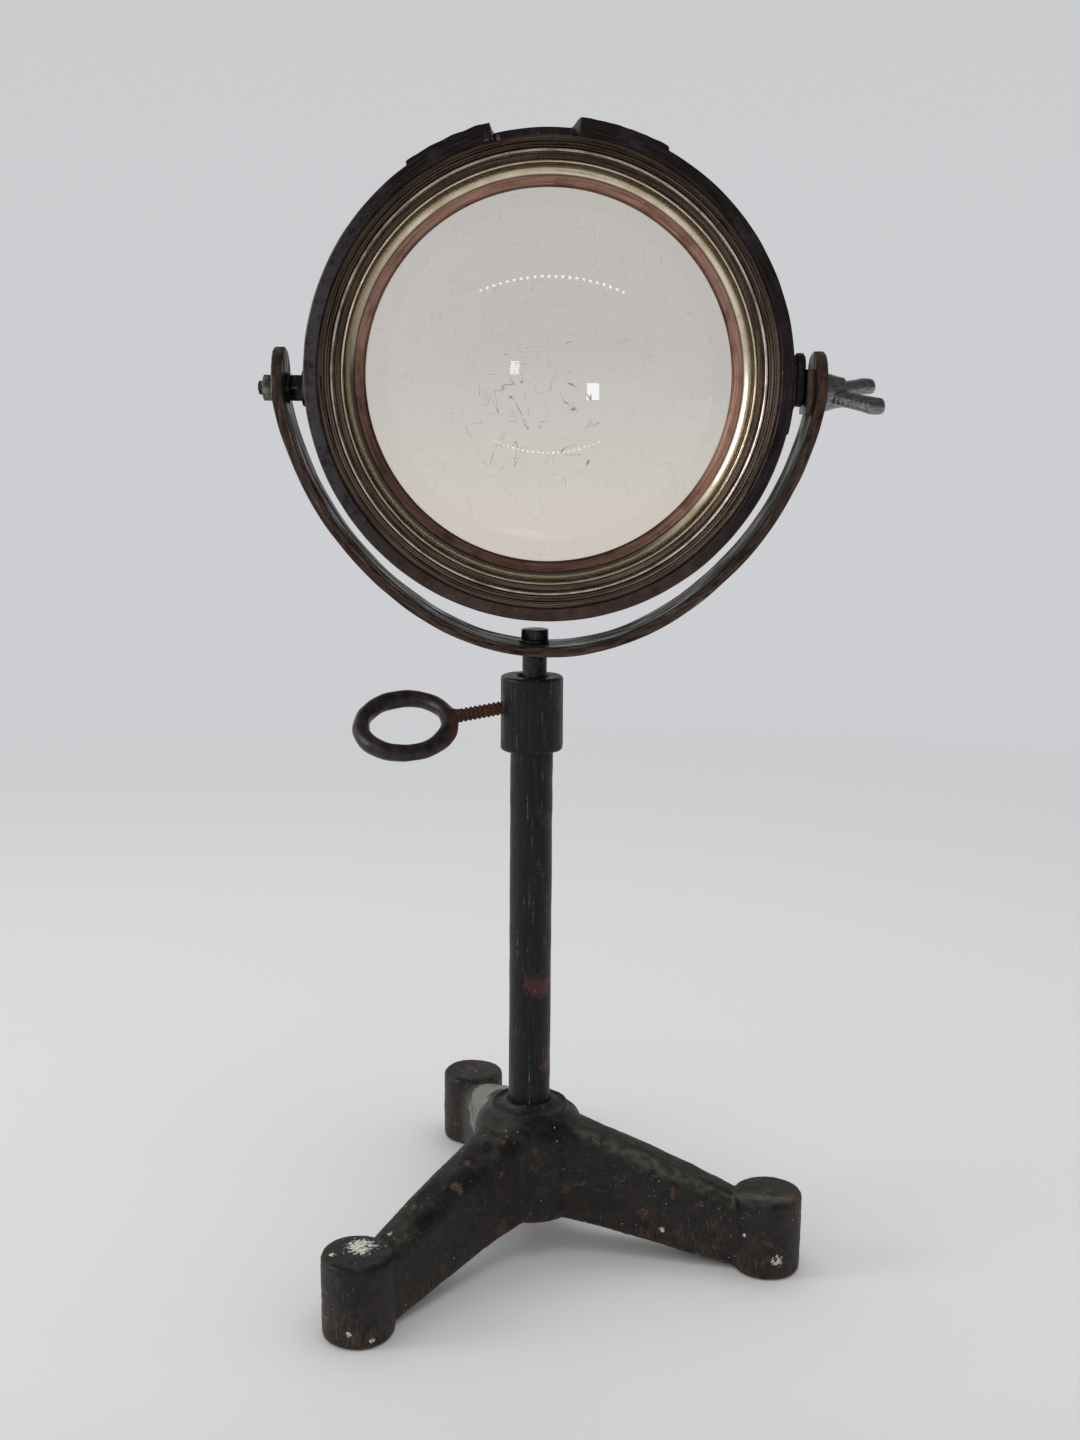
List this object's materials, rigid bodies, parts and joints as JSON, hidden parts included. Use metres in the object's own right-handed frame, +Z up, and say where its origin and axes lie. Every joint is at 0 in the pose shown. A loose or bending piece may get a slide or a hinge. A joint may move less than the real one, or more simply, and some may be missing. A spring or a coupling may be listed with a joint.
{
  "type": "magnifying glass on stand",
  "caption": "Large lens in a turned brass cell that tilts in a strap yoke, on a sliding and turning stem clamped by an eye screw over a cast iron tripod base.",
  "frame": {"origin": "on the column's axis, on the table plane that the feet stand on", "axes": "+X to the right towards the wing nut, +Y away from the viewer, +Z up"},
  "size_m": [0.2557, 0.2152, 0.4779],
  "materials": {
    "base_enamel": "chipped black enamel on cast iron with rust spots",
    "dark_iron": "near-black worn finish with a slight green cast",
    "rusty_iron": "dark iron with rust in the thread",
    "black_steel": "blackened steel",
    "plain_steel": "dull grey steel",
    "yoke_iron": "brown-grey patina, streaked on the inner face",
    "plate_brown": "dark brown patina",
    "bezel_patina": "dark brown-black patina, filed edges",
    "cell_brass": "aged brass, polished cove",
    "copper_ring": "copper brown, satin",
    "lens_glass": "clear, polished",
    "packing": "matte",
    "small_brass": "dull",
    "black_rubber": "matte, hand cut",
    "wing_grey": "grey cast metal, worn smooth"
  },
  "bodies": {
    "stand": {"tripod_base": "base_enamel", "column_tube": "dark_iron", "base_washer": "plain_steel", "base_nut": "plain_steel", "socket_collar": "dark_iron"},
    "clamp": {"clamp_screw": "rusty_iron"},
    "stem": {"stem_rod": "black_steel", "yoke_screw": "black_steel", "yoke_screw_washer": "black_steel"},
    "fork": {"yoke": "yoke_iron", "pivot_plate": "plate_brown"},
    "lens_head": {"bezel_ring": "bezel_patina", "cove_ring": "cell_brass", "seat_ring": "copper_ring", "lens": "lens_glass", "packing_ring": "packing", "retaining_ring": "cell_brass", "retaining_screws": "small_brass", "cell_grub_screws": "small_brass", "left_stud": "black_steel", "left_lock_nut": "black_steel", "left_inner_washer": "black_steel", "left_outer_washer": "plain_steel", "left_outer_nut": "plain_steel", "right_stud": "black_steel", "rubber_pad": "black_rubber"},
    "wing": {"wing_nut": "wing_grey"}
  },
  "joints": [
    {"name": "clamp_screw_turn", "type": "hinge", "parent": "stand", "child": "clamp", "pos_m": [0, 0, 0.2433], "axis": [-0.9565, -0.2563, -0.1392], "range_deg": [0, 360]},
    {"name": "stem_slide", "type": "slide", "parent": "stand", "child": "stem", "axis": [0, 0, 1], "range_m": [-0.009, 0.06]},
    {"name": "yoke_swivel", "type": "hinge", "parent": "stem", "child": "fork", "pos_m": [0.001, 0, 0.2644], "axis": [0, 0, 1], "continuous": true},
    {"name": "lens_tilt", "type": "hinge", "parent": "fork", "child": "lens_head", "pos_m": [0.0059, 0, 0.3736], "axis": [1, 0, 0], "range_deg": [-145, 145]},
    {"name": "wing_nut_turn", "type": "hinge", "parent": "lens_head", "child": "wing", "pos_m": [0.1186, 0, 0.3736], "axis": [1, 0, 0], "range_deg": [0, 360]}
  ]
}
